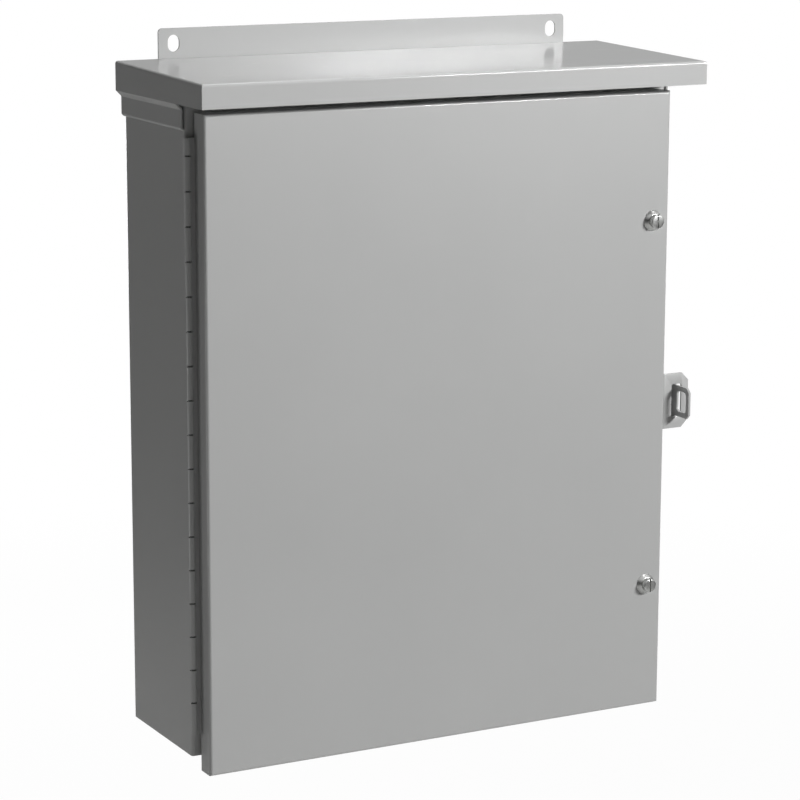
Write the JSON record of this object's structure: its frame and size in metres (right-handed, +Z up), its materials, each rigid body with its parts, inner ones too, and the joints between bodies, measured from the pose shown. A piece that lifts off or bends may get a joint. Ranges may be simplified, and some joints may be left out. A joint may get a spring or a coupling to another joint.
{
  "type": "wall-mount enclosure",
  "caption": "Grey sheet steel wall-mount enclosure with a drip-shield roof, a continuous-hinge door held by slotted screws, and a hasp and staple for a padlock.",
  "frame": {"origin": "on the wall plane, at mid width, level with the underside of the cabinet", "axes": "+X to the right seen from the front, +Y back into the wall, +Z up"},
  "size_m": [0.6475, 0.234, 0.83],
  "materials": {
    "grey_paint": "smooth satin light grey enamel",
    "zinc_plate": "bright zinc plate",
    "white_paint": "satin white enamel"
  },
  "bodies": {
    "enclosure": {"cabinet_shell": "grey_paint", "bottom_panel": "grey_paint", "header": "grey_paint", "drip_shield": "grey_paint", "hinge_leaf_body": "grey_paint", "hinge_pin": "zinc_plate", "staple": "grey_paint", "weld_nuts": "zinc_plate", "panel_studs": "zinc_plate", "inner_panel": "white_paint", "panel_nuts": "zinc_plate", "ground_stud": "zinc_plate", "ground_nut": "zinc_plate"},
    "door": {"door_pan": "grey_paint", "hinge_leaf_door": "grey_paint", "hasp_plate": "grey_paint", "seat_washers": "zinc_plate"},
    "upper_ring": {"retainer_upper": "zinc_plate"},
    "upper_screw": {"screw_upper": "zinc_plate"},
    "lower_ring": {"retainer_lower": "zinc_plate"},
    "lower_screw": {"screw_lower": "zinc_plate"}
  },
  "joints": [
    {"name": "door_swing", "type": "hinge", "parent": "enclosure", "child": "door", "pos_m": [-0.304, -0.1681, 0], "axis": [0, 0, -1], "range_deg": [0, 180]},
    {"name": "upper_screw_travel", "type": "slide", "parent": "door", "child": "upper_ring", "axis": [0, -1, 0], "range_m": [0, 0.01524]},
    {"name": "upper_screw_turn", "type": "hinge", "parent": "upper_ring", "child": "upper_screw", "pos_m": [0.274, -0.192, 0.5693], "axis": [0, -1, 0], "range_deg": [0, 4320]},
    {"name": "lower_screw_travel", "type": "slide", "parent": "door", "child": "lower_ring", "axis": [0, -1, 0], "range_m": [0, 0.01524]},
    {"name": "lower_screw_turn", "type": "hinge", "parent": "lower_ring", "child": "lower_screw", "pos_m": [0.274, -0.192, 0.133], "axis": [0, -1, 0], "range_deg": [0, 4320]}
  ],
  "couplings": [
    {"joint": "upper_screw_travel", "follows": "upper_screw_turn", "m_per_rad": 0.00020213},
    {"joint": "lower_screw_travel", "follows": "lower_screw_turn", "m_per_rad": 0.00020213}
  ]
}
